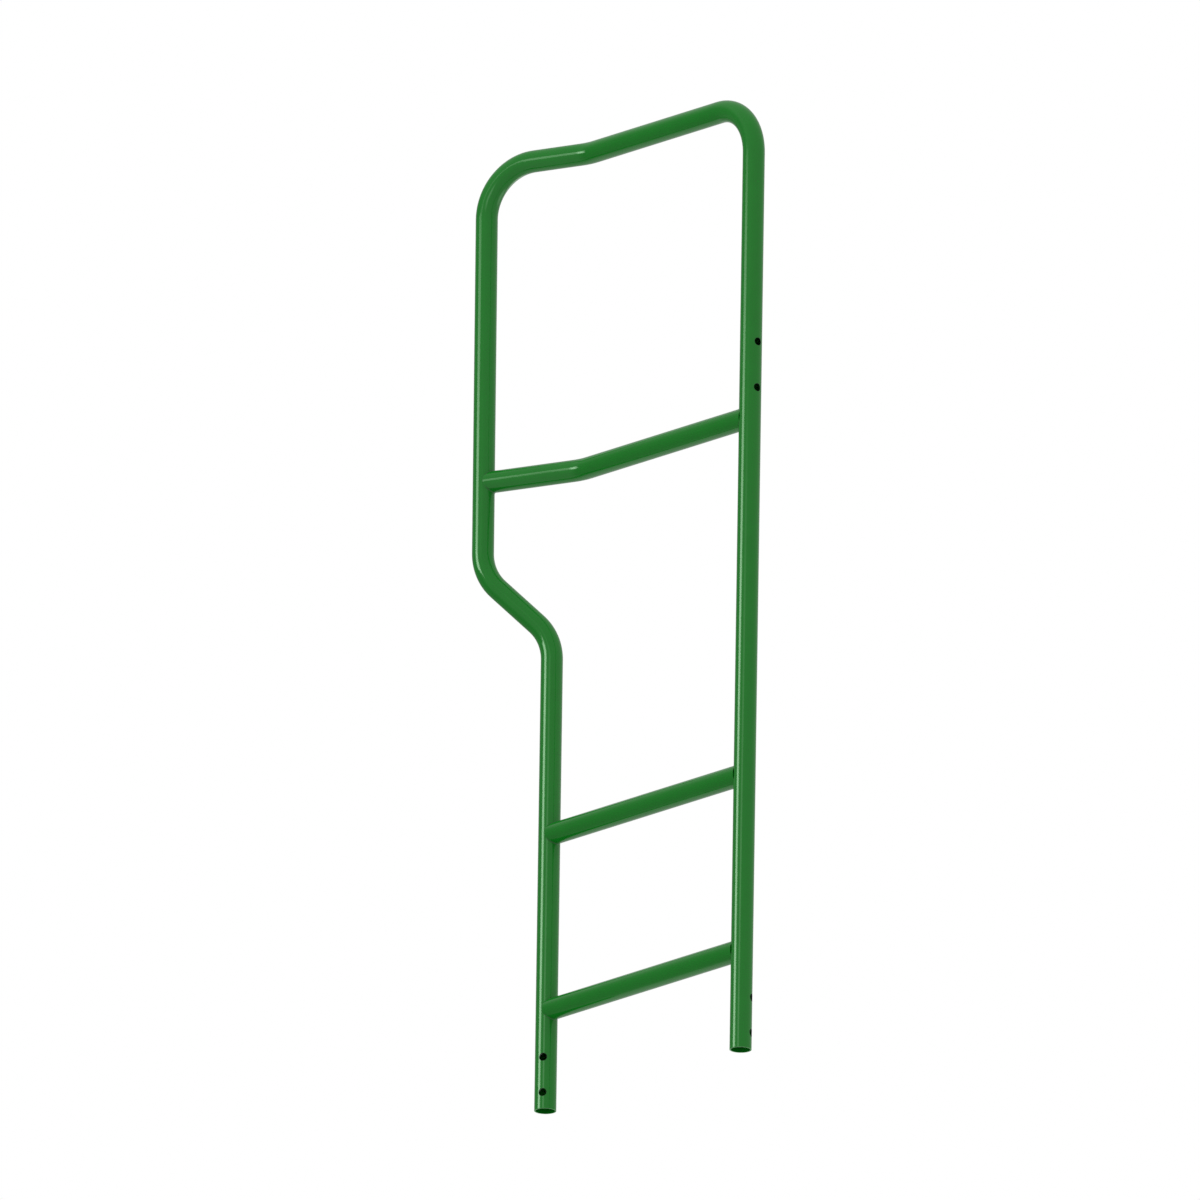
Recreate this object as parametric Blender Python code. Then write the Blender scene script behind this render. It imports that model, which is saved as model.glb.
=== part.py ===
"""Side frame of a set of monkey bars, welded from bent round tube.

One hoop of tube makes both legs, the S-bend of the left upright and the kinked top bar. A kinked mid bar
and two straight rungs are saddle-cut to the hoop. The thin points that a saddle cut leaves at the sides of
a bar are trimmed square, and a bead of weld runs above and below each end.

Metres, +Z up. X runs along the rungs from the left leg to the right leg, and -Y is the side to which the
left upright is set forward. The origin is on the ground, midway between the two feet.
"""

import math

import bmesh
import bpy
from mathutils import Quaternion, Vector

# Tube stock, the same for every piece
TUBE_DIAMETER = 0.0424
TUBE_WALL = 0.0026
BEND_RADIUS = 0.102

# Widths, between the centrelines of the tubes
LEG_SPACING = 0.574
S_BEND_OUT = 0.117
S_BEND_FORWARD = 0.077
UPRIGHT_LEAN = 0.004
TOP_KINK_INSIDE_LEG = 0.0885
MID_KINK_INSIDE_LEG = 0.081

# Heights, each measured up from the one before
FOOT_HOLE_HEIGHT = 0.032
FOOT_HOLE_PITCH = 0.070
LOWER_RUNG_ABOVE_FOOT_HOLES = 0.097
RUNG_PITCH = 0.349
S_BEND_ABOVE_RUNG = 0.392
S_BEND_RISE = 0.134
MID_BAR_ABOVE_S_BEND = 0.183
TOP_BAR_ABOVE_MID_BAR = 0.627

# Bolt holes, drilled through both walls
BOLT_HOLE_DIAMETER = 0.0145
UPPER_HOLE_ABOVE_MID_BAR = 0.055
UPPER_HOLE_PITCH = 0.091

# Ends of the bars: how far from the upright's centreline the points of the saddle are trimmed
RUNG_TRIM = 0.0105
MID_BAR_TRIM = 0.0085

# Welds above and below a bar's end
WELD_LEG = 0.0020
FIT_GAP = 0.0003

# Paint
GREEN = (0.002, 0.150, 0.008, 1.0)
PAINT_ROUGHNESS = 0.3
PAINT_METALLIC = 0.0

# Facets
TUBE_SIDES = 32
BEND_STEP = math.radians(7.5)
HOLE_SIDES = 24
WELD_FACE_POINTS = 5
WELD_STEPS = 24
TANGENT_STEP = math.radians(1)
SHARP_ANGLE = math.radians(40)

# Worked out from the sizes above
TUBE_RADIUS = TUBE_DIAMETER / 2
BORE_RADIUS = TUBE_RADIUS - TUBE_WALL
LOWER_RUNG_Z = FOOT_HOLE_HEIGHT + FOOT_HOLE_PITCH + LOWER_RUNG_ABOVE_FOOT_HOLES
UPPER_RUNG_Z = LOWER_RUNG_Z + RUNG_PITCH
S_BEND_LOW_Z = UPPER_RUNG_Z + S_BEND_ABOVE_RUNG
S_BEND_HIGH_Z = S_BEND_LOW_Z + S_BEND_RISE
MID_BAR_Z = S_BEND_HIGH_Z + MID_BAR_ABOVE_S_BEND
TOP_BAR_Z = MID_BAR_Z + TOP_BAR_ABOVE_MID_BAR
UPPER_HOLE_Z = MID_BAR_Z + UPPER_HOLE_ABOVE_MID_BAR

UP = Vector((0, 0, 1))
LEFT_FOOT = Vector((-LEG_SPACING / 2, 0, 0))
RIGHT_FOOT = Vector((LEG_SPACING / 2, 0, 0))
S_BEND_OFFSET = Vector((-S_BEND_OUT, -S_BEND_FORWARD, 0))
S_BEND_TOP = LEFT_FOOT + S_BEND_OFFSET + UP * S_BEND_HIGH_Z
TOP_LEFT_CORNER = LEFT_FOOT + S_BEND_OFFSET + Vector((-UPRIGHT_LEAN, 0, TOP_BAR_Z))
UPPER_UPRIGHT = (TOP_LEFT_CORNER - S_BEND_TOP).normalized()
UPRIGHT_AT_MID_BAR = S_BEND_TOP + UPPER_UPRIGHT * (MID_BAR_ABOVE_S_BEND / UPPER_UPRIGHT.z)
MID_BAR_LEFT = UPRIGHT_AT_MID_BAR - UP * MID_BAR_Z

HOOP_CORNERS = [
    LEFT_FOOT,
    LEFT_FOOT + UP * S_BEND_LOW_Z,
    S_BEND_TOP,
    TOP_LEFT_CORNER,
    LEFT_FOOT + Vector((TOP_KINK_INSIDE_LEG, 0, TOP_BAR_Z)),
    RIGHT_FOOT + UP * TOP_BAR_Z,
    RIGHT_FOOT,
]

# Centrelines of the bars in plan, at the height of their own origins
MID_BAR_CORNERS = [
    MID_BAR_LEFT,
    LEFT_FOOT + Vector((MID_KINK_INSIDE_LEG, 0, 0)),
    RIGHT_FOOT,
]
RUNG_CORNERS = [LEFT_FOOT, RIGHT_FOOT]


def bent_path(corners):
    """Points and tangents along a centreline, with an arc of the bend radius at each inner corner."""
    first = (corners[1] - corners[0]).normalized()
    path = [(corners[0], first)]
    for before, corner, after in zip(corners, corners[1:], corners[2:]):
        incoming = (corner - before).normalized()
        outgoing = (after - corner).normalized()
        turn = incoming.angle(outgoing)
        axis = incoming.cross(outgoing).normalized()
        start = corner - incoming * BEND_RADIUS * math.tan(turn / 2)
        spoke = incoming.cross(axis) * BEND_RADIUS
        centre = start - spoke
        steps = math.ceil(turn / BEND_STEP)
        for step in range(steps + 1):
            swing = Quaternion(axis, turn * step / steps)
            path.append((centre + swing @ spoke, swing @ incoming))
    last = (corners[-1] - corners[-2]).normalized()
    path.append((corners[-1], last))
    return path


def add_ring(mesh, centre, first_axis, second_axis, radius, sides):
    """Ring of vertices that runs from the first axis towards the second."""
    ring = []
    for side in range(sides):
        angle = 2 * math.pi * side / sides
        spoke = first_axis * math.cos(angle) + second_axis * math.sin(angle)
        ring.append(mesh.verts.new(centre + spoke * radius))
    return ring


def bridge(mesh, ring, next_ring):
    """Band of quads between two rings with the same number of vertices."""
    count = len(ring)
    for side in range(count):
        follow = (side + 1) % count
        mesh.faces.new((ring[side], ring[follow], next_ring[follow], next_ring[side]))


def add_tube_wall(mesh, path, radius):
    """Skin of rings along the path, carried from ring to ring without twist."""
    across = path[0][1].orthogonal()
    rings = []
    for point, tangent in path:
        across = (across - tangent * across.dot(tangent)).normalized()
        rings.append(add_ring(mesh, point, across, tangent.cross(across), radius, TUBE_SIDES))
    for ring, next_ring in zip(rings, rings[1:]):
        bridge(mesh, ring, next_ring)
    return rings[0], rings[-1]


def hollow_tube(path):
    """Tube with its wall and open ends."""
    mesh = bmesh.new()
    outer_ends = add_tube_wall(mesh, path, TUBE_RADIUS)
    bore_ends = add_tube_wall(mesh, path, BORE_RADIUS)
    for outer, bore in zip(outer_ends, bore_ends):
        bridge(mesh, outer, bore)
    return mesh


def solid_bar(path, radius):
    """Filled bar along the path, for cutting."""
    mesh = bmesh.new()
    for end in add_tube_wall(mesh, path, radius):
        mesh.faces.new(end)
    return mesh


def paint(name):
    """Gloss green powder coat for one piece."""
    material = bpy.data.materials.new(name + "_paint")
    material.use_nodes = True
    shader = material.node_tree.nodes["Principled BSDF"]
    shader.inputs["Base Color"].default_value = GREEN
    shader.inputs["Roughness"].default_value = PAINT_ROUGHNESS
    shader.inputs["Metallic"].default_value = PAINT_METALLIC
    return material


def add_object(name, mesh):
    """Object in the scene from a finished bmesh, shaded smooth."""
    bmesh.ops.recalc_face_normals(mesh, faces=mesh.faces)
    data = bpy.data.meshes.new(name)
    mesh.to_mesh(data)
    mesh.free()
    data.shade_smooth()
    data.set_sharp_from_angle(angle=SHARP_ANGLE)
    piece = bpy.data.objects.new(name, data)
    bpy.context.scene.collection.objects.link(piece)
    return piece


def add_piece(name, mesh, parent, location=(0, 0, 0)):
    """Painted piece of the frame, placed under its parent."""
    piece = add_object(name, mesh)
    piece.data.materials.append(paint(name))
    piece.parent = parent
    piece.location = location
    return piece


def add_cutter(name, mesh):
    """Shape that only cuts others."""
    cutter = add_object(name, mesh)
    cutter.hide_render = True
    cutter.display_type = "WIRE"
    return cutter


def cut(piece, cutter):
    """Take the cutter's shape out of the piece."""
    modifier = piece.modifiers.new(cutter.name, "BOOLEAN")
    modifier.operation = "DIFFERENCE"
    modifier.solver = "EXACT"
    modifier.object = cutter


def bolt_holes():
    """Drill for the two holes of each foot and the two above the mid bar.

    The left foot is drilled square to the plane of the S-bend and the right foot along it. The holes of
    the right upright point along the rungs.
    """
    along_s_bend = S_BEND_OFFSET.normalized()
    across_s_bend = along_s_bend.cross(UP)
    along_rungs = (RIGHT_FOOT - LEFT_FOOT).normalized()
    groups = [
        (LEFT_FOOT, across_s_bend, FOOT_HOLE_HEIGHT, FOOT_HOLE_PITCH),
        (RIGHT_FOOT, along_s_bend, FOOT_HOLE_HEIGHT, FOOT_HOLE_PITCH),
        (RIGHT_FOOT, along_rungs, UPPER_HOLE_Z, UPPER_HOLE_PITCH),
    ]
    mesh = bmesh.new()
    for foot, axis, height, pitch in groups:
        for centre in (foot + UP * height, foot + UP * (height + pitch)):
            ends = []
            for end in (centre - axis * TUBE_DIAMETER, centre + axis * TUBE_DIAMETER):
                ends.append(add_ring(mesh, end, UP, axis.cross(UP), BOLT_HOLE_DIAMETER / 2, HOLE_SIDES))
            bridge(mesh, *ends)
            mesh.faces.new(ends[0])
            mesh.faces.new(ends[1])
    return mesh


def saddle_frame(angle, upright, bar, side):
    """Point of the root of a weld, and the outward normals of the bar and of the upright there.

    The angle runs round the bar from its side. The root keeps the fit gap from both tubes.
    """
    bar_normal = side * math.cos(angle) + upright * math.sin(angle)
    reach = TUBE_RADIUS + FIT_GAP
    out_from_axis = bar * reach * math.sin(angle) + side * reach * math.cos(angle)
    point = out_from_axis + upright * reach * math.sin(angle)
    return point, bar_normal, out_from_axis.normalized()


def weld_bead(upright, bar, trim):
    """Bead along the saddle line, over the bar from one of its trimmed sides to the other.

    Its section is a sector that fills the corner between the two tubes, and it tapers to both ends. Its
    origin is where the two centrelines meet. With the upright's direction reversed, it runs under the bar.
    """
    side = upright.cross(bar).normalized()
    bar = side.cross(upright).normalized()
    first_angle = math.asin(trim / TUBE_RADIUS)
    mesh = bmesh.new()
    sections = []
    for step in range(WELD_STEPS):
        share = (step + 0.5) / WELD_STEPS
        angle = first_angle + (math.pi - 2 * first_angle) * share
        root, bar_normal, upright_normal = saddle_frame(angle, upright, bar, side)
        behind = saddle_frame(angle - TANGENT_STEP, upright, bar, side)[0]
        ahead = saddle_frame(angle + TANGENT_STEP, upright, bar, side)[0]
        tangent = (ahead - behind).normalized()
        middle = bar_normal + upright_normal
        middle = (middle - tangent * middle.dot(tangent)).normalized()
        towards_bar = middle.cross(tangent)
        half_opening = (math.pi - bar_normal.angle(upright_normal)) / 2
        radius = WELD_LEG * math.sqrt(math.sin(math.pi * share))
        section = [mesh.verts.new(root)]
        for point in range(WELD_FACE_POINTS):
            lean = half_opening * (1 - 2 * point / (WELD_FACE_POINTS - 1))
            spoke = middle * math.cos(lean) + towards_bar * math.sin(lean)
            section.append(mesh.verts.new(root + spoke * radius))
        sections.append(section)
    for section, next_section in zip(sections, sections[1:]):
        bridge(mesh, section, next_section)
    mesh.faces.new(sections[0])
    mesh.faces.new(sections[-1])
    return mesh


def build_hoop(frame):
    """Bent hoop with its bolt holes, and the shape that clears it by the fit gap."""
    path = bent_path(HOOP_CORNERS)
    hoop = add_piece("hoop", hollow_tube(path), frame)
    cut(hoop, add_cutter("bolt_hole_drill", bolt_holes()))
    return add_cutter("hoop_clearance", solid_bar(path, TUBE_RADIUS + FIT_GAP))


def build_bar(name, corners, height, left_upright, trim, hoop_clearance, frame):
    """Bar with both ends saddle-cut to the hoop, and the welds above and below each end."""
    left_heading = (corners[1] - corners[0]).normalized()
    right_heading = (corners[-2] - corners[-1]).normalized()
    left_end = corners[0] + left_heading * trim
    right_end = corners[-1] + right_heading * trim
    path = bent_path([left_end] + corners[1:-1] + [right_end])
    bar = add_piece(name, hollow_tube(path), frame, UP * height)
    cut(bar, hoop_clearance)
    joints = [("left", corners[0], left_upright, left_heading), ("right", corners[-1], UP, right_heading)]
    for end, point, upright, heading in joints:
        for face, direction in (("top", upright), ("bottom", -upright)):
            bead = weld_bead(direction, heading, trim)
            add_piece(f"weld_{name}_{end}_{face}", bead, frame, point + UP * height)


def build_frame():
    """The whole side frame, under an empty at its origin."""
    frame = bpy.data.objects.new("frame_origin", None)
    bpy.context.scene.collection.objects.link(frame)
    hoop_clearance = build_hoop(frame)
    build_bar("mid_bar", MID_BAR_CORNERS, MID_BAR_Z, UPPER_UPRIGHT, MID_BAR_TRIM, hoop_clearance, frame)
    build_bar("upper_rung", RUNG_CORNERS, UPPER_RUNG_Z, UP, RUNG_TRIM, hoop_clearance, frame)
    build_bar("lower_rung", RUNG_CORNERS, LOWER_RUNG_Z, UP, RUNG_TRIM, hoop_clearance, frame)


for old in list(bpy.data.objects):
    bpy.data.objects.remove(old, do_unlink=True)
build_frame()
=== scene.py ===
"""Looks of the monkey bars side frame: drilled tubes, welds, gloss green powder coat, studio and camera.

The sizes repeat those of the construction, in metres and in the same frame: +Z up, X along the rungs from
the left leg to the right leg, and -Y to the side to which the left upright is set forward.
"""

import math

import bmesh
import bpy
from mathutils import Matrix, Quaternion, Vector


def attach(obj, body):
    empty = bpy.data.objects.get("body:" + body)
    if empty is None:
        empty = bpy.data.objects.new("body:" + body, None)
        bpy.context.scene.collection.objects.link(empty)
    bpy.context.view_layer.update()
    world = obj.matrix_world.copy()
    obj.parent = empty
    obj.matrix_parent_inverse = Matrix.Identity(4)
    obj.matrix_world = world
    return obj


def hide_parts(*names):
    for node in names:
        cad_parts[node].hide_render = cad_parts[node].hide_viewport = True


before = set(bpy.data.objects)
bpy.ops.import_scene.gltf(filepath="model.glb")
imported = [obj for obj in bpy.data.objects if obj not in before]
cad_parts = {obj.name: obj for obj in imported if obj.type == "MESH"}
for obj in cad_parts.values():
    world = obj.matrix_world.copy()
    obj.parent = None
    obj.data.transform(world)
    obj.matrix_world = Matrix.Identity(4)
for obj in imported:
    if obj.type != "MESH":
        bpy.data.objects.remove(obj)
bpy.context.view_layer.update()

# Tube stock
TUBE_RADIUS = 0.0212
TUBE_WALL = 0.0026
BORE_RADIUS = TUBE_RADIUS - TUBE_WALL
BEND_RADIUS = 0.102
END_ROUND = 0.00025

# Widths, between the centrelines of the tubes
LEG_SPACING = 0.574
S_BEND_OUT = 0.117
S_BEND_FORWARD = 0.077
UPRIGHT_LEAN = 0.004
TOP_KINK_INSIDE_LEG = 0.0885
MID_KINK_INSIDE_LEG = 0.081

# Heights
LOWER_RUNG_Z = 0.199
UPPER_RUNG_Z = 0.548
S_BEND_LOW_Z = 0.940
S_BEND_HIGH_Z = 1.074
MID_BAR_Z = 1.257
TOP_BAR_Z = 1.884

# Bolt holes, with edges rounded outside and in the bore
HOLE_RADIUS = 0.00725
HOLE_ROUND = 0.0006
BORE_EDGE_ROUND = 0.0002
FOOT_HOLES_Z = (0.032, 0.102)
UPPER_HOLES_Z = (1.312, 1.403)

# Ends of the bars: saddle cuts whose points are trimmed at this distance from the upright's centreline
RUNG_TRIM = 0.0105
MID_BAR_TRIM = 0.0085
COPE_GAP = 0.0003
COPE_LENGTH = 0.030

# Welds above and below a bar's end
WELD_LEG = 0.0020
WELD_CROWN = 0.35
WELD_SINK = 0.0002
WELD_RIPPLES = 18
WELD_RIPPLE_DEPTH = 0.05

# Fineness of the meshes
TUBE_SIDES = 64
BEND_STEP = math.radians(3)
STRAIGHT_STEP = 0.045
ROUND_STEPS = 4
COPE_ROWS = 4
WELD_STEPS = 144
WELD_FACE_POINTS = 7
TANGENT_STEP = math.radians(0.5)
SHARP_ANGLE = math.radians(50)

# Square window in the grid of a wall round each hole, and the rings at shares of the way to the hole's rim
WINDOW_CELLS = 12
WINDOW_SIDE = TUBE_RADIUS * math.tau / TUBE_SIDES * WINDOW_CELLS
COLLAR_SHARES = (0.40, 0.75, 0.94, 1.00)

# A ring this far above the rounded edge of a foot keeps the shading of the leg straight
END_SUPPORT = 0.0006

# Directions, and the corners of the hoop's centreline from foot to foot
UP = Vector((0, 0, 1))
ALONG_RUNGS = Vector((1, 0, 0))
LEFT_FOOT = Vector((-LEG_SPACING / 2, 0, 0))
RIGHT_FOOT = Vector((LEG_SPACING / 2, 0, 0))
S_BEND_OFFSET = Vector((-S_BEND_OUT, -S_BEND_FORWARD, 0))
ALONG_S_BEND = S_BEND_OFFSET.normalized()
ACROSS_S_BEND = ALONG_S_BEND.cross(UP)
S_BEND_TOP = LEFT_FOOT + S_BEND_OFFSET + UP * S_BEND_HIGH_Z
TOP_LEFT_CORNER = LEFT_FOOT + S_BEND_OFFSET + Vector((-UPRIGHT_LEAN, 0, TOP_BAR_Z))
UPPER_UPRIGHT = (TOP_LEFT_CORNER - S_BEND_TOP).normalized()
MID_BAR_LEFT = S_BEND_TOP + UPPER_UPRIGHT * ((MID_BAR_Z - S_BEND_HIGH_Z) / UPPER_UPRIGHT.z)

HOOP_CORNERS = [
    LEFT_FOOT,
    LEFT_FOOT + UP * S_BEND_LOW_Z,
    S_BEND_TOP,
    TOP_LEFT_CORNER,
    LEFT_FOOT + Vector((TOP_KINK_INSIDE_LEG, 0, TOP_BAR_Z)),
    RIGHT_FOOT + UP * TOP_BAR_Z,
    RIGHT_FOOT,
]
LEFT_LEG = 0
RIGHT_LEG = len(HOOP_CORNERS) - 2

# Straight run of the hoop, distance along it from its first corner, and direction of the drill
HOLES = [(LEFT_LEG, height, ACROSS_S_BEND) for height in FOOT_HOLES_Z]
HOLES += [(RIGHT_LEG, TOP_BAR_Z - height, ALONG_RUNGS) for height in reversed(UPPER_HOLES_Z)]
HOLES += [(RIGHT_LEG, TOP_BAR_Z - height, ALONG_S_BEND) for height in reversed(FOOT_HOLES_Z)]

# Paint
GREEN = (0.002, 0.150, 0.008)
GLOSS_TINT = (0.66, 1.00, 0.68, 1.00)
PAINT_IOR = 1.66
PAINT_ROUGHNESS = (0.08, 0.13)
WELD_ROUGHNESS = (0.35, 0.45)
MOTTLE_TONE = (0.97, 1.03)
PEEL_HEIGHT = 0.000001

# Noise in the paint: scale and detail of each pattern, and the part of the noise's range that is used
MOTTLE_NOISE = (38.0, 4.0)
SMUDGE_NOISE = (11.0, 3.0)
PEEL_NOISE = (380.0, 1.5)
NOISE_RANGE = (0.3, 0.7)

# Painted shade and painted highlight: the share of its colour that the paint loses in the bore, the holes
# and the welds, where shade falls, or gains where it is negative, as a painted highlight on the cut ends
PAINTED_LIGHT_LOSS = "painted_light_loss"
BORE_PAINTED_SHADE = 0.10
HOLE_PAINTED_SHADE = 0.97
WELD_PAINTED_SHADE = 0.40
END_PAINTED_HIGHLIGHT = -0.60

# Camera, fitted to the photograph: an orthographic view from below the horizon
CAMERA_AZIMUTH = math.radians(49.7612)
CAMERA_ELEVATION = math.radians(-16.2408)
CAMERA_ROLL = math.radians(0.8503)
CAMERA_SCALE = 2.28913
CAMERA_RIGHT = -0.081776
CAMERA_UP = 0.916372
CAMERA_BACK = 6.0
CAMERA_CLIP_END = 200.0

# Floor, and the even light on the paint, which has a slope
FLOOR_SIZE = 120.0
FLOOR_GREY = 0.82
WHITE = (1, 1, 1, 1)
AMBIENT = 0.957
AMBIENT_SLOPE = (-0.132, 0.035, 0.200)

# What the reflections see: a grey studio with a dark flag, and paler places in it. A spread is the angle to
# which a place is even, and the angle at which it has faded. The low softboxes are given by azimuth and
# elevation in degrees, and grey.
STUDIO_GREY = 0.55
FLAG_DIRECTION = (-0.918, -0.371, -0.139)
FLAG_GREY = 0.25
FLAG_SPREAD = (math.radians(27), math.radians(57))
SWEEP_DIRECTION = (-0.733, 0.267, -0.626)
SWEEP_GREY = 0.60
SWEEP_SPREAD = (math.radians(3), math.radians(26))
LOW_SOFTBOXES = ((62, -22, 1.3), (115, -22, 1.3))
LOW_SOFTBOX_SPREAD = (math.radians(5), math.radians(26))
BACKDROP_GREY = 1.0
BACKDROP_SPREAD = (math.radians(7), math.radians(14))

# Lamps: azimuth in degrees, distance in plan, and brightness in watts for each square metre of their faces
KEY_LAMP = {"azimuth": -100, "distance": 5.0, "height": 6.5, "size": (4.0, 4.0), "brightness": 7.3}
FRONT_SOFTBOX = {"azimuth": -114, "distance": 7.0, "bottom": 1.5, "size": (3.9, 2.3), "brightness": 5.8}
SIDE_SOFTBOX = {"azimuth": -66, "distance": 8.0, "bottom": 0.78, "size": (2.8, 2.72), "brightness": 1.25}

# A softbox is a stack of panels: shares of its width and height, and the step towards the object
PANEL_SHARES = ((1.0, 1.0), (0.7, 0.83), (0.4, 0.66))
PANEL_STEP = 0.1


def bend_stations(before, corner, after):
    """Stations round one bend, from its start to its end."""
    incoming = (corner - before).normalized()
    outgoing = (after - corner).normalized()
    turn = incoming.angle(outgoing)
    axis = incoming.cross(outgoing).normalized()
    start = corner - incoming * BEND_RADIUS * math.tan(turn / 2)
    spoke = incoming.cross(axis) * BEND_RADIUS
    centre = start - spoke
    steps = math.ceil(turn / BEND_STEP)
    stations = []
    for step in range(steps + 1):
        swing = Quaternion(axis, turn * step / steps)
        stations.append((centre + swing @ spoke, swing @ incoming))
    return stations


def straight_distances(start, end, windows):
    """Distances of the rows on a straight run, with even rows across each window. The end is left out."""
    distances = []
    for window in windows + [None]:
        reach = end if window is None else window - WINDOW_SIDE / 2
        steps = math.ceil((reach - start) / STRAIGHT_STEP)
        distances += [start + (reach - start) * step / steps for step in range(steps)]
        start = reach
        if window is not None:
            distances += [start + WINDOW_SIDE * step / WINDOW_CELLS for step in range(WINDOW_CELLS)]
            start += WINDOW_SIDE
    return distances


def centreline(corners, trim, holes=()):
    """Stations (point, tangent) of a tube with these holes, whose ends are cut back by the trim."""
    stations = []
    leave = corners[0]
    for run, (corner, after) in enumerate(zip(corners, corners[1:])):
        heading = (after - corner).normalized()
        last = run == len(corners) - 2
        bend = [] if last else bend_stations(corner, after, corners[run + 2])
        arrive = after - heading * trim if last else bend[0][0]
        start = (leave - corner).length + (trim if run == 0 else 0)
        windows = [along for hole_run, along, _ in holes if hole_run == run]
        for distance in straight_distances(start, (arrive - corner).length, windows):
            stations.append((corner + heading * distance, heading))
        stations += bend[:-1]
        leave = bend[-1][0] if bend else None
    stations.append((arrive, heading))
    return stations


def carried_frames(stations, across):
    """Frames (point, across, second, tangent) along the stations, carried without twist."""
    frames = []
    for point, tangent in stations:
        across = (across - tangent * across.dot(tangent)).normalized()
        frames.append((point, across, tangent.cross(across), tangent))
    return frames


def spokes(across, second):
    """Unit spokes to the sides of a ring."""
    for side in range(TUBE_SIDES):
        angle = math.tau * side / TUBE_SIDES
        yield across * math.cos(angle) + second * math.sin(angle)


def add_ring(mesh, ring_frame, radius, slide=0.0):
    """Ring of vertices on one frame, slid along the tangent."""
    point, across, second, tangent = ring_frame
    centre = point + tangent * slide
    return [mesh.verts.new(centre + spoke * radius) for spoke in spokes(across, second)]


def new_mesh():
    """Empty mesh whose vertices can carry painted shade or a painted highlight."""
    mesh = bmesh.new()
    mesh.verts.layers.float.new(PAINTED_LIGHT_LOSS)
    return mesh


def set_painted_light(mesh, rings, loss):
    """Set the painted shade on these rings: the share of its colour that the paint loses, or gains as a
    painted highlight where it is negative.
    """
    layer = mesh.verts.layers.float[PAINTED_LIGHT_LOSS]
    for ring in rings:
        for vertex in ring:
            vertex[layer] = loss


def bridge(mesh, ring, next_ring):
    """Band of quads between two rings."""
    count = len(ring)
    for side in range(count):
        follow = (side + 1) % count
        mesh.faces.new((ring[side], ring[follow], next_ring[follow], next_ring[side]))


def bridge_all(mesh, rings):
    """Bands of quads from each ring to the next."""
    for ring, next_ring in zip(rings, rings[1:]):
        bridge(mesh, ring, next_ring)


def skin(mesh, rows, windows):
    """Quads between the rows of a wall, apart from the cells inside a window."""
    left_out = set()
    for first_row, first_side in windows:
        for row in range(first_row, first_row + WINDOW_CELLS):
            left_out |= {(row, side % TUBE_SIDES) for side in range(first_side, first_side + WINDOW_CELLS)}
    for index, (row, next_row) in enumerate(zip(rows, rows[1:])):
        for side in range(TUBE_SIDES):
            follow = (side + 1) % TUBE_SIDES
            if (index, side) not in left_out:
                mesh.faces.new((row[side], row[follow], next_row[follow], next_row[side]))


def window_places(first_row, first_side):
    """Rows and sides of the grid points round a window, in order."""
    cells = range(WINDOW_CELLS)
    last_row = first_row + WINDOW_CELLS
    last_side = first_side + WINDOW_CELLS
    places = [(first_row, first_side + cell) for cell in cells]
    places += [(first_row + cell, last_side) for cell in cells]
    places += [(last_row, last_side - cell) for cell in cells]
    places += [(last_row - cell, first_side) for cell in cells]
    return places


def rounded(edge):
    """Steps over a rounded edge: how far each has gone over it, and how deep it lies below the surface."""
    for step in range(1, ROUND_STEPS + 1):
        lean = math.pi / 2 * step / ROUND_STEPS
        yield edge * math.sin(lean), edge * (1 - math.cos(lean))


def add_hole_side(mesh, hole, rows, places, wall_radius, edge, into_wall):
    """Rings from a window in one wall to the inside of the hole, over its rounded edge."""
    centre, axis, aside, along, hole_angle = hole
    window = [rows[row][side % TUBE_SIDES] for row, side in places]
    rings = [window]
    headings = []
    starts = []
    for vertex, (_, side) in zip(window, places):
        angle = math.tau * side / TUBE_SIDES - hole_angle
        distance = (vertex.co - centre).dot(along)
        headings.append(math.atan2(distance, wall_radius * angle))
        starts.append((angle, distance))
    rim = HOLE_RADIUS + edge
    for share in COLLAR_SHARES:
        ring = []
        for heading, (angle, distance) in zip(headings, starts):
            rim_angle = math.asin(rim * math.cos(heading) / wall_radius)
            rim_distance = rim * math.sin(heading)
            turn = angle + (rim_angle - angle) * share
            climb = distance + (rim_distance - distance) * share
            spoke = axis * math.cos(turn) + aside * math.sin(turn)
            ring.append(mesh.verts.new(centre + spoke * wall_radius + along * climb))
        rings.append(ring)
    for advance, depth in rounded(edge):
        reach = rim - advance
        ring = []
        for heading in headings:
            sideways = reach * math.cos(heading)
            climb = reach * math.sin(heading)
            height = math.sqrt(wall_radius**2 - sideways**2) + into_wall * depth
            ring.append(mesh.verts.new(centre + axis * height + aside * sideways + along * climb))
        rings.append(ring)
    return rings


def drill(mesh, outer, bore, frames, first_row, first_side, hole_angle):
    """Hole through the wall of a straight run, joining the windows in its outer skin and its bore."""
    point, across, second, tangent = frames[first_row]
    axis = across * math.cos(hole_angle) + second * math.sin(hole_angle)
    aside = second * math.cos(hole_angle) - across * math.sin(hole_angle)
    hole = (point + tangent * WINDOW_SIDE / 2, axis, aside, tangent, hole_angle)
    places = window_places(first_row, first_side)
    outer_rings = add_hole_side(mesh, hole, outer, places, TUBE_RADIUS, HOLE_ROUND, -1)
    bore_rings = add_hole_side(mesh, hole, bore, places, BORE_RADIUS, BORE_EDGE_ROUND, 1)
    bridge_all(mesh, outer_rings + bore_rings[::-1])
    # Painted shade: the rounded edge and the wall of each hole are painted near black, and its bore side a
    # little darker
    rim_and_edge = outer_rings[-ROUND_STEPS - 1:]
    set_painted_light(mesh, bore_rings, BORE_PAINTED_SHADE)
    set_painted_light(mesh, rim_and_edge + bore_rings[-1:], HOLE_PAINTED_SHADE)


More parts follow.
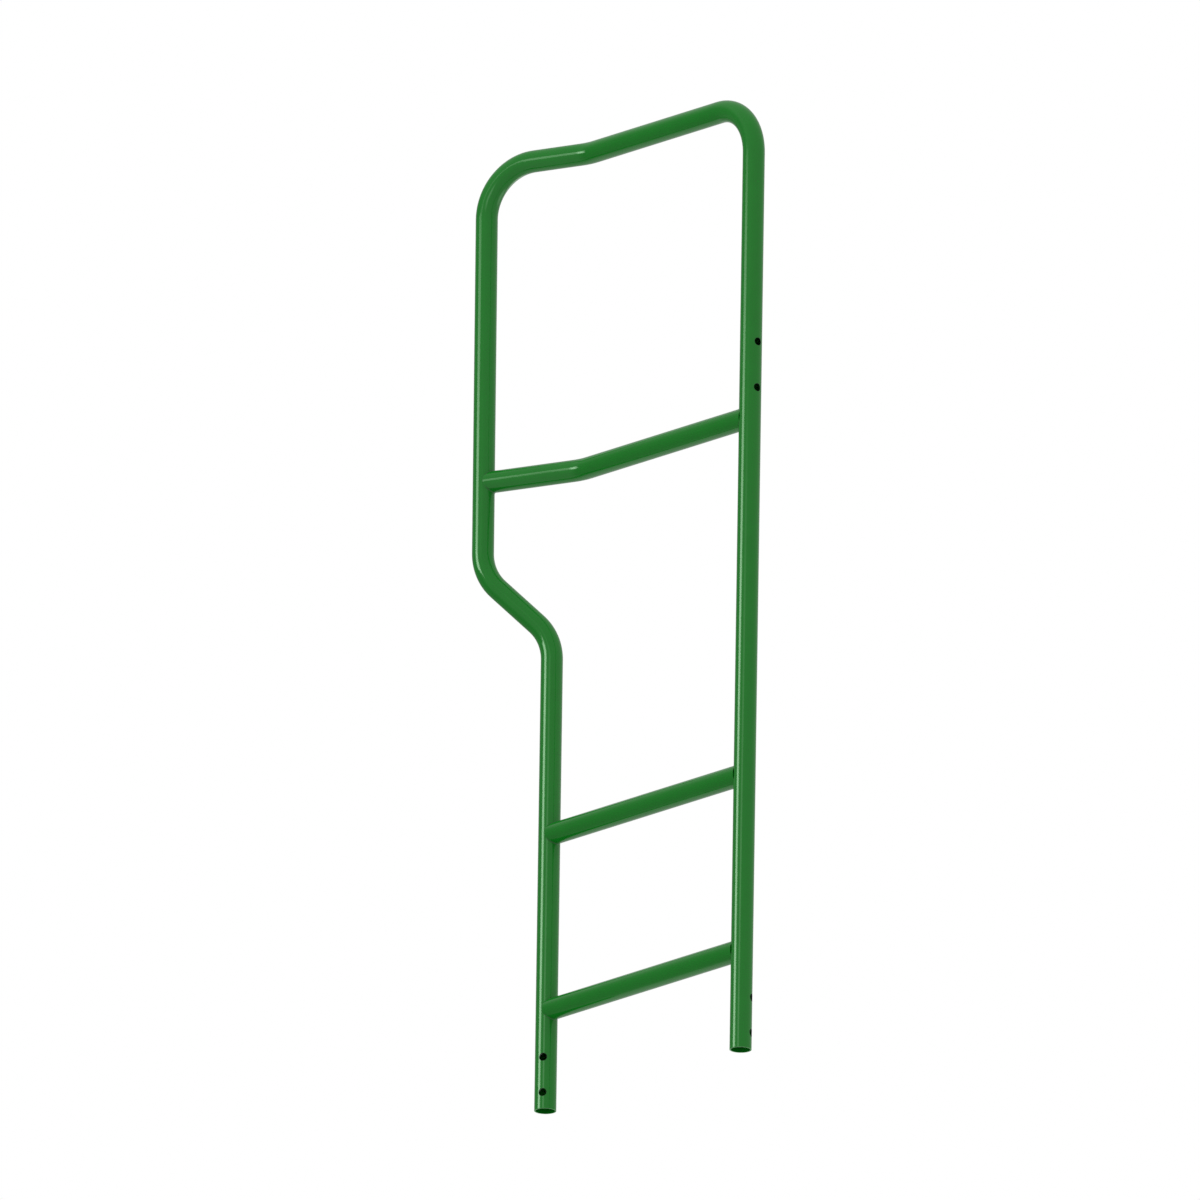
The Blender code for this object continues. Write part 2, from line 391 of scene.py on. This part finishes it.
def add_open_end(mesh, outer_ring, bore_ring, ring_frame, outwards):
    """Rounded end of a tube wall, between the last rings of its skin and its bore."""
    outer_lip = []
    bore_lip = []
    for advance, depth in rounded(END_ROUND):
        outer_lip.append(add_ring(mesh, ring_frame, TUBE_RADIUS - depth, outwards * advance))
        bore_lip.append(add_ring(mesh, ring_frame, BORE_RADIUS + depth, outwards * advance))
    bridge_all(mesh, [outer_ring] + outer_lip + bore_lip[::-1] + [bore_ring])
    # Painted highlight: the cut end of the tube is painted lighter, as light catching the edge
    set_painted_light(mesh, (outer_lip[-1], bore_lip[-1]), END_PAINTED_HIGHLIGHT)


def hoop_mesh():
    """The bent hoop: skin, bore, bolt holes through both walls and open feet."""
    mesh = new_mesh()
    stations = centreline(HOOP_CORNERS, END_ROUND, HOLES)
    stations.insert(1, (LEFT_FOOT + UP * (END_ROUND + END_SUPPORT), UP))
    stations.insert(-1, (RIGHT_FOOT + UP * (END_ROUND + END_SUPPORT), -UP))
    frames = carried_frames(stations, ALONG_RUNGS)
    outer = [add_ring(mesh, ring_frame, TUBE_RADIUS) for ring_frame in frames]
    bore = [add_ring(mesh, ring_frame, BORE_RADIUS) for ring_frame in frames]
    drilled = []
    for run, along, drill_axis in HOLES:
        heading = (HOOP_CORNERS[run + 1] - HOOP_CORNERS[run]).normalized()
        window_start = HOOP_CORNERS[run] + heading * (along - WINDOW_SIDE / 2)
        first_row = min(range(len(frames)), key=lambda row: (frames[row][0] - window_start).length)
        across, second = frames[first_row][1:3]
        for axis in (drill_axis, -drill_axis):
            hole_angle = math.atan2(axis.dot(second), axis.dot(across))
            first_side = round(hole_angle / math.tau * TUBE_SIDES) - WINDOW_CELLS // 2
            drilled.append((first_row, first_side, hole_angle))
    windows = [(first_row, first_side) for first_row, first_side, _ in drilled]
    skin(mesh, outer, windows)
    skin(mesh, bore, windows)
    for first_row, first_side, hole_angle in drilled:
        drill(mesh, outer, bore, frames, first_row, first_side, hole_angle)
    add_open_end(mesh, outer[0], bore[0], frames[0], -1)
    add_open_end(mesh, outer[-1], bore[-1], frames[-1], 1)
    # Painted shade: the inside of the tube is painted a little darker
    set_painted_light(mesh, bore, BORE_PAINTED_SHADE)
    return mesh


def cope_reach(offset, heading, upright, trim):
    """How far along a bar the line at this offset from its axis starts, clear of the upright and trimmed."""
    flat_offset = offset - upright * offset.dot(upright)
    flat_heading = heading - upright * heading.dot(upright)
    a = flat_heading.length_squared
    b = flat_offset.dot(flat_heading)
    c = flat_offset.length_squared - (TUBE_RADIUS + COPE_GAP) ** 2
    return max(trim, (math.sqrt(b * b - a * c) - b) / a)


def add_cope(mesh, ring_frame, corner, upright, inwards, radius, trim):
    """Rows from the saddle-cut end of a bar to its first straight ring, which is left out."""
    _, across, second, tangent = ring_frame
    heading = tangent * inwards
    rows = []
    for row in range(COPE_ROWS):
        ring = []
        for spoke in spokes(across, second):
            reach = cope_reach(spoke * radius, heading, upright, trim)
            distance = reach + (COPE_LENGTH - reach) * row / COPE_ROWS
            ring.append(mesh.verts.new(corner + spoke * radius + heading * distance))
        rows.append(ring)
    return rows


def bar_mesh(corners, left_upright, trim):
    """Bar with both ends saddle-cut to the uprights."""
    mesh = new_mesh()
    frames = carried_frames(centreline(corners, COPE_LENGTH), UP.cross(ALONG_RUNGS))
    walls = []
    for radius in (TUBE_RADIUS, BORE_RADIUS):
        left = add_cope(mesh, frames[0], corners[0], left_upright, 1, radius, trim)
        right = add_cope(mesh, frames[-1], corners[-1], UP, -1, radius, trim)
        middle = [add_ring(mesh, ring_frame, radius) for ring_frame in frames]
        rows = left + middle + right[::-1]
        bridge_all(mesh, rows)
        walls.append(rows)
    outer, bore = walls
    bridge(mesh, outer[0], bore[0])
    bridge(mesh, outer[-1], bore[-1])
    # Painted shade: the inside of the tube is painted a little darker
    set_painted_light(mesh, bore, BORE_PAINTED_SHADE)
    return mesh


def saddle_frame(angle, upright, bar, side):
    """Root of a weld at an angle round the bar, and the normals of the bar and the upright there."""
    bar_normal = side * math.cos(angle) + upright * math.sin(angle)
    reach = TUBE_RADIUS - WELD_SINK
    out_from_axis = bar * reach * math.sin(angle) + side * reach * math.cos(angle)
    point = out_from_axis + upright * reach * math.sin(angle)
    return point, bar_normal, out_from_axis.normalized()


def weld_mesh(upright, bar, trim):
    """Rippled bead along the saddle line, over the bar from one of its trimmed sides to the other.

    Its origin is where the centrelines meet. With the upright's direction reversed, it runs under the bar.
    """
    side = upright.cross(bar).normalized()
    bar = side.cross(upright).normalized()
    first_angle = math.asin(trim / TUBE_RADIUS)
    mesh = new_mesh()
    sections = []
    for step in range(WELD_STEPS):
        share = (step + 0.5) / WELD_STEPS
        angle = first_angle + (math.pi - 2 * first_angle) * share
        root, bar_normal, upright_normal = saddle_frame(angle, upright, bar, side)
        behind = saddle_frame(angle - TANGENT_STEP, upright, bar, side)[0]
        ahead = saddle_frame(angle + TANGENT_STEP, upright, bar, side)[0]
        tangent = (ahead - behind).normalized()
        middle = bar_normal + upright_normal
        middle = (middle - tangent * middle.dot(tangent)).normalized()
        towards_bar = middle.cross(tangent)
        half_opening = (math.pi - bar_normal.angle(upright_normal)) / 2
        leg = WELD_LEG * math.sqrt(math.sin(math.pi * share))
        leg *= 1 + WELD_RIPPLE_DEPTH * math.cos(math.tau * WELD_RIPPLES * share)
        section = [mesh.verts.new(root)]
        for point in range(WELD_FACE_POINTS):
            lean = half_opening * (1 - 2 * point / (WELD_FACE_POINTS - 1))
            chord = math.cos(half_opening) / math.cos(lean)
            reach = leg * (chord + (1 - chord) * WELD_CROWN)
            spoke = middle * math.cos(lean) + towards_bar * math.sin(lean)
            section.append(mesh.verts.new(root + spoke * reach))
        sections.append(section)
    bridge_all(mesh, sections)
    mesh.faces.new(sections[0])
    mesh.faces.new(sections[-1])
    # Painted shade: the bead is painted darker, as shade in the corner between bar and upright
    set_painted_light(mesh, sections, WELD_PAINTED_SHADE)
    return mesh


class Nodes:
    """Small helper that adds linked shader nodes to one tree."""

    def __init__(self, tree):
        self.tree = tree
        tree.nodes.clear()

    def add(self, kind, links=None, values=None, **settings):
        """New node with its settings, the values of its sockets and the outputs that are linked to them."""
        node = self.tree.nodes.new(kind)
        for name, value in settings.items():
            setattr(node, name, value)
        for name, value in (values or {}).items():
            node.inputs[name].default_value = value
        for name, source in (links or {}).items():
            self.tree.links.new(source, node.inputs[name])
        return node

    def combine(self, operation, first, second):
        """Output of a Math node that is linked to two outputs."""
        return self.add("ShaderNodeMath", {0: first, 1: second}, operation=operation).outputs["Value"]

    def noise(self, place, pattern):
        """Output of a noise pattern at this place."""
        scale, detail = pattern
        texture = self.add("ShaderNodeTexNoise", {"Vector": place}, {"Scale": scale, "Detail": detail})
        return texture.outputs["Fac"]

    def ramp(self, source, inputs, outputs, **settings):
        """Output that takes a range of its source to another range."""
        limits = {
            "From Min": inputs[0],
            "From Max": inputs[1],
            "To Min": outputs[0],
            "To Max": outputs[1],
        }
        return self.add("ShaderNodeMapRange", {"Value": source}, limits, **settings).outputs["Result"]


def paint_material(name, roughness):
    """Green powder coat: faint mottle, uneven gloss and slight orange peel, with painted shade and a painted
    highlight in places.
    """
    material = bpy.data.materials.new(name)
    material.use_nodes = True
    nodes = Nodes(material.node_tree)
    place = nodes.add("ShaderNodeTexCoord").outputs["Object"]
    tone = nodes.ramp(nodes.noise(place, MOTTLE_NOISE), NOISE_RANGE, MOTTLE_TONE)
    # Painted shade in the bore, the holes and the welds, and a painted highlight on the cut ends, carried by
    # the mesh
    loss = nodes.add("ShaderNodeAttribute", attribute_name=PAINTED_LIGHT_LOSS).outputs["Fac"]
    kept = nodes.add("ShaderNodeMath", {1: loss}, {0: 1.0}, operation="SUBTRACT").outputs["Value"]
    shade = nodes.combine("MULTIPLY", tone, kept)
    green = nodes.add("ShaderNodeVectorMath", {"Scale": shade}, {0: GREEN}, operation="SCALE")
    gloss = nodes.ramp(nodes.noise(place, SMUDGE_NOISE), NOISE_RANGE, roughness)
    bump = nodes.add(
        "ShaderNodeBump",
        {"Height": nodes.noise(place, PEEL_NOISE)},
        {"Strength": 1.0, "Distance": PEEL_HEIGHT},
    )
    shader = nodes.add(
        "ShaderNodeBsdfPrincipled",
        {"Base Color": green.outputs["Vector"], "Roughness": gloss, "Normal": bump.outputs["Normal"]},
        {"IOR": PAINT_IOR, "Specular Tint": GLOSS_TINT},
    )
    nodes.add("ShaderNodeOutputMaterial", {"Surface": shader.outputs["BSDF"]})
    return material


def add_piece(name, mesh, material, node, location=(0, 0, 0)):
    """Piece of the object that stands for a node of the construction."""
    bmesh.ops.recalc_face_normals(mesh, faces=mesh.faces)
    data = bpy.data.meshes.new(name)
    mesh.to_mesh(data)
    mesh.free()
    data.shade_smooth()
    data.set_sharp_from_angle(angle=SHARP_ANGLE)
    data.materials.append(material)
    piece = bpy.data.objects.new(name, data)
    bpy.context.scene.collection.objects.link(piece)
    piece.location = location
    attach(piece, "root")
    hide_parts(node)


def add_bar(node, corners, left_upright, trim, paint, weld_paint):
    """Bar and the welds above and below each end of it."""
    height = UP * corners[0].z
    flat_corners = [corner - height for corner in corners]
    add_piece(node + "_tube", bar_mesh(flat_corners, left_upright, trim), paint, node, height)
    left_heading = (corners[1] - corners[0]).normalized()
    right_heading = (corners[-2] - corners[-1]).normalized()
    ends = [("left", left_upright, left_heading, corners[0]), ("right", UP, right_heading, corners[-1])]
    for end, upright, heading, corner in ends:
        for face, away in (("top", upright), ("bottom", -upright)):
            bead = weld_mesh(away, heading, trim)
            add_piece(f"bead_{node}_{end}_{face}", bead, weld_paint, f"weld_{node}_{end}_{face}", corner)


def add_object():
    """All the pieces of the side frame."""
    paint = paint_material("green_powder_coat", PAINT_ROUGHNESS)
    weld_paint = paint_material("green_powder_coat_on_welds", WELD_ROUGHNESS)
    add_piece("bent_hoop", hoop_mesh(), paint, "hoop")
    mid_kink = LEFT_FOOT + Vector((MID_KINK_INSIDE_LEG, 0, MID_BAR_Z))
    mid_corners = [MID_BAR_LEFT, mid_kink, RIGHT_FOOT + UP * MID_BAR_Z]
    add_bar("mid_bar", mid_corners, UPPER_UPRIGHT, MID_BAR_TRIM, paint, weld_paint)
    for node, height in (("upper_rung", UPPER_RUNG_Z), ("lower_rung", LOWER_RUNG_Z)):
        rung_corners = [LEFT_FOOT + UP * height, RIGHT_FOOT + UP * height]
        add_bar(node, rung_corners, UP, RUNG_TRIM, paint, weld_paint)


def add_floor():
    """Pale floor that shows from above only, because the camera looks up from below it.

    It catches the object's shadow, and takes no part in its light or its reflections.
    """
    mesh = bmesh.new()
    bmesh.ops.create_grid(mesh, x_segments=1, y_segments=1, size=FLOOR_SIZE / 2)
    data = bpy.data.meshes.new("floor")
    mesh.to_mesh(data)
    mesh.free()
    floor = bpy.data.objects.new("floor", data)
    bpy.context.scene.collection.objects.link(floor)
    floor.visible_diffuse = False
    floor.visible_glossy = False
    floor.visible_shadow = False
    material = bpy.data.materials.new("pale_floor")
    material.use_nodes = True
    nodes = Nodes(material.node_tree)
    facing = nodes.add("ShaderNodeNewGeometry").outputs["Backfacing"]
    top = nodes.add("ShaderNodeBsdfDiffuse", values={"Color": (FLOOR_GREY, FLOOR_GREY, FLOOR_GREY, 1)})
    below = nodes.add("ShaderNodeBsdfTransparent")
    mix = nodes.add("ShaderNodeMixShader", {0: facing, 1: top.outputs["BSDF"], 2: below.outputs["BSDF"]})
    nodes.add("ShaderNodeOutputMaterial", {"Surface": mix.outputs["Shader"]})
    data.materials.append(material)


def towards_camera():
    """Direction from the object to the camera."""
    plan = Vector((math.sin(CAMERA_AZIMUTH), -math.cos(CAMERA_AZIMUTH), 0))
    return plan * math.cos(CAMERA_ELEVATION) + UP * math.sin(CAMERA_ELEVATION)


def unit_vector(azimuth, elevation):
    """Unit vector from two angles in degrees."""
    turn = math.radians(azimuth)
    climb = math.radians(elevation)
    return Vector((math.cos(climb) * math.cos(turn), math.cos(climb) * math.sin(turn), math.sin(climb)))


def direction_level(nodes, place, centre, spread, low, high):
    """Level that goes from high within the inner angle of a direction to low past the outer angle."""
    inner, outer = spread
    middle = Vector(centre).normalized()
    towards = nodes.add("ShaderNodeVectorMath", {0: place}, {1: middle}, operation="DOT_PRODUCT")
    limits = (math.cos(outer), math.cos(inner))
    return nodes.ramp(towards.outputs["Value"], limits, (low, high), interpolation_type="SMOOTHSTEP")


def add_world():
    """White for the camera, a grey studio for the reflections, and even light with a slope for the paint.

    The studio has a dark flag and paler places: a sweep, the backdrop behind the object and low softboxes.
    """
    world = bpy.data.worlds.new("studio")
    world.use_nodes = True
    bpy.context.scene.world = world
    nodes = Nodes(world.node_tree)
    rays = nodes.add("ShaderNodeLightPath").outputs
    place = nodes.add("ShaderNodeTexCoord").outputs["Generated"]
    level = direction_level(nodes, place, FLAG_DIRECTION, FLAG_SPREAD, STUDIO_GREY, FLAG_GREY)
    paler_places = [
        (SWEEP_DIRECTION, SWEEP_SPREAD, SWEEP_GREY),
        (-towards_camera(), BACKDROP_SPREAD, BACKDROP_GREY),
    ]
    for azimuth, elevation, grey in LOW_SOFTBOXES:
        paler_places.append((unit_vector(azimuth, elevation), LOW_SOFTBOX_SPREAD, grey))
    for centre, spread, grey in paler_places:
        level = nodes.combine("MAXIMUM", level, direction_level(nodes, place, centre, spread, 0.0, grey))
    level = nodes.add("ShaderNodeMix", {"Factor": rays["Is Camera Ray"], "A": level}, {"B": 1.0})
    studio = nodes.add("ShaderNodeBackground", {"Strength": level.outputs["Result"]}, {"Color": WHITE})
    slope = nodes.add("ShaderNodeVectorMath", {0: place}, {1: AMBIENT_SLOPE}, operation="DOT_PRODUCT")
    ambient = nodes.add("ShaderNodeMath", {0: slope.outputs["Value"]}, {1: AMBIENT}, operation="ADD")
    light = nodes.add("ShaderNodeBackground", {"Strength": ambient.outputs["Value"]}, {"Color": WHITE})
    sight = rays["Is Camera Ray"]
    for kind in ("Is Glossy Ray", "Is Transmission Ray"):
        sight = nodes.combine("MAXIMUM", sight, rays[kind])
    mix = nodes.add(
        "ShaderNodeMixShader",
        {0: sight, 1: light.outputs["Background"], 2: studio.outputs["Background"]},
    )
    nodes.add("ShaderNodeOutputWorld", {"Surface": mix.outputs["Shader"]})


def add_panel(name, azimuth, distance, height, size, brightness, reflected):
    """Area lamp that stands upright for the reflections, or is aimed at the origin to light the paint."""
    lamp = bpy.data.lights.new(name, "AREA")
    lamp.shape = "RECTANGLE"
    lamp.size, lamp.size_y = size
    lamp.energy = brightness * size[0] * size[1]
    panel = bpy.data.objects.new(name, lamp)
    bpy.context.scene.collection.objects.link(panel)
    panel.location = unit_vector(azimuth, 0) * distance + UP * height
    aim = Vector((0, 0, height if reflected else 0)) - panel.location
    panel.rotation_mode = "QUATERNION"
    panel.rotation_quaternion = aim.to_track_quat("-Z", "Y")
    panel.visible_camera = False
    panel.visible_diffuse = not reflected
    panel.visible_glossy = reflected


def add_softbox(name, azimuth, distance, bottom, size, brightness):
    """Upright softbox for the reflections that fades to its sides and its top.

    It is a stack of panels with one lower edge, each smaller and nearer than the one before.
    """
    for index, (width_share, height_share) in enumerate(PANEL_SHARES):
        width = size[0] * width_share
        height = size[1] * height_share
        nearer = distance - PANEL_STEP * index
        middle = bottom + height / 2
        add_panel(f"{name}_{index}", azimuth, nearer, middle, (width, height), brightness, True)


def add_lights():
    """A soft key from the front and above for the paint, and two softboxes for its reflections."""
    add_panel("key", reflected=False, **KEY_LAMP)
    add_softbox("front_softbox", **FRONT_SOFTBOX)
    add_softbox("side_softbox", **SIDE_SOFTBOX)


def add_camera():
    """Orthographic camera of the photograph."""
    back = towards_camera()
    level = Vector((math.cos(CAMERA_AZIMUTH), math.sin(CAMERA_AZIMUTH), 0))
    upright = back.cross(level)
    right = level * math.cos(CAMERA_ROLL) + upright * math.sin(CAMERA_ROLL)
    up = upright * math.cos(CAMERA_ROLL) - level * math.sin(CAMERA_ROLL)
    data = bpy.data.cameras.new("camera")
    data.type = "ORTHO"
    data.ortho_scale = CAMERA_SCALE
    data.clip_end = CAMERA_CLIP_END
    camera = bpy.data.objects.new("camera", data)
    bpy.context.scene.collection.objects.link(camera)
    turn = Matrix((right, up, back)).transposed().to_4x4()
    place = right * CAMERA_RIGHT + up * CAMERA_UP + back * CAMERA_BACK
    camera.matrix_world = Matrix.Translation(place) @ turn
    bpy.context.scene.camera = camera


add_object()
add_floor()
add_world()
add_lights()
add_camera()
bpy.context.scene.view_settings.view_transform = "Standard"
